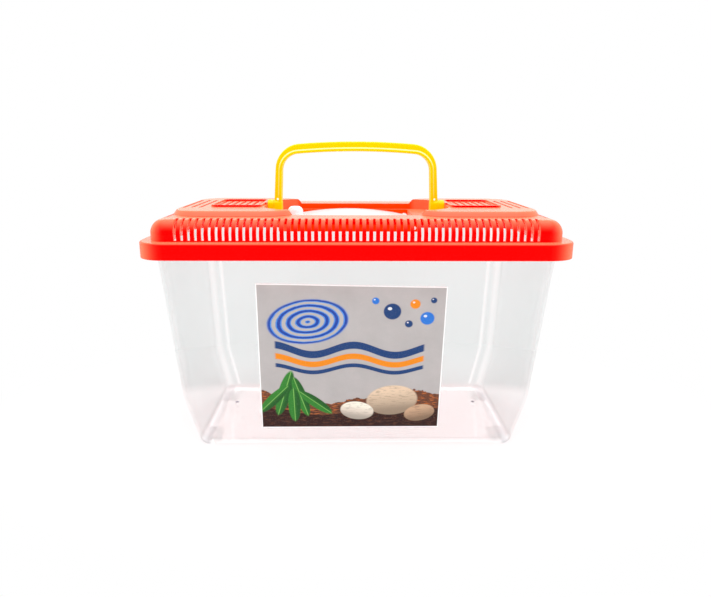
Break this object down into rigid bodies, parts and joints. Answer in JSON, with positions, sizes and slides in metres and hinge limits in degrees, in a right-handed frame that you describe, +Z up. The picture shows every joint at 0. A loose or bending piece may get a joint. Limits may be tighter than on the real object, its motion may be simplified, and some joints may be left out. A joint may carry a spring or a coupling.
{
  "type": "plastic pet keeper",
  "caption": "Clear drafted plastic tank with a ventilated snap-over lid, an arched see-through hatch, a folding bail handle and a front label.",
  "frame": {"origin": "centre of the bounding box in plan, on the plane the feet stand on", "axes": "+Z up; +X along the tank's length, to the right as seen from the labelled front; the front faces -Y"},
  "size_m": [0.2976, 0.1702, 0.227],
  "materials": {
    "clear_tank": "polished clear polystyrene, faintly cool",
    "red_lid": "semi-gloss moulded polypropylene, bright red",
    "clear_hatch": "clear polystyrene with a satin haze",
    "yellow_handle": "semi-gloss moulded polypropylene, warm yellow",
    "label": "satin printed film sticker with a thin white border"
  },
  "bodies": {
    "tank_body": {"tank": "clear_tank", "front_label": "label"},
    "lid_body": {"lid": "red_lid"},
    "hatch_body": {"hatch_door": "clear_hatch"},
    "handle_body": {"carry_handle": "yellow_handle"}
  },
  "joints": [
    {"name": "lid_lift", "type": "slide", "parent": "tank_body", "child": "lid_body", "axis": [0, 0, 1], "range_m": [0, 0.06]},
    {"name": "handle_swing", "type": "hinge", "parent": "lid_body", "child": "handle_body", "pos_m": [0, 0, 0.1773], "axis": [1, 0, 0], "range_deg": [-80, 80]},
    {"name": "hatch_swing", "type": "hinge", "parent": "lid_body", "child": "hatch_body", "pos_m": [0.0419, 0, 0.166], "axis": [0, 1, 0], "range_deg": [0, 25]}
  ]
}
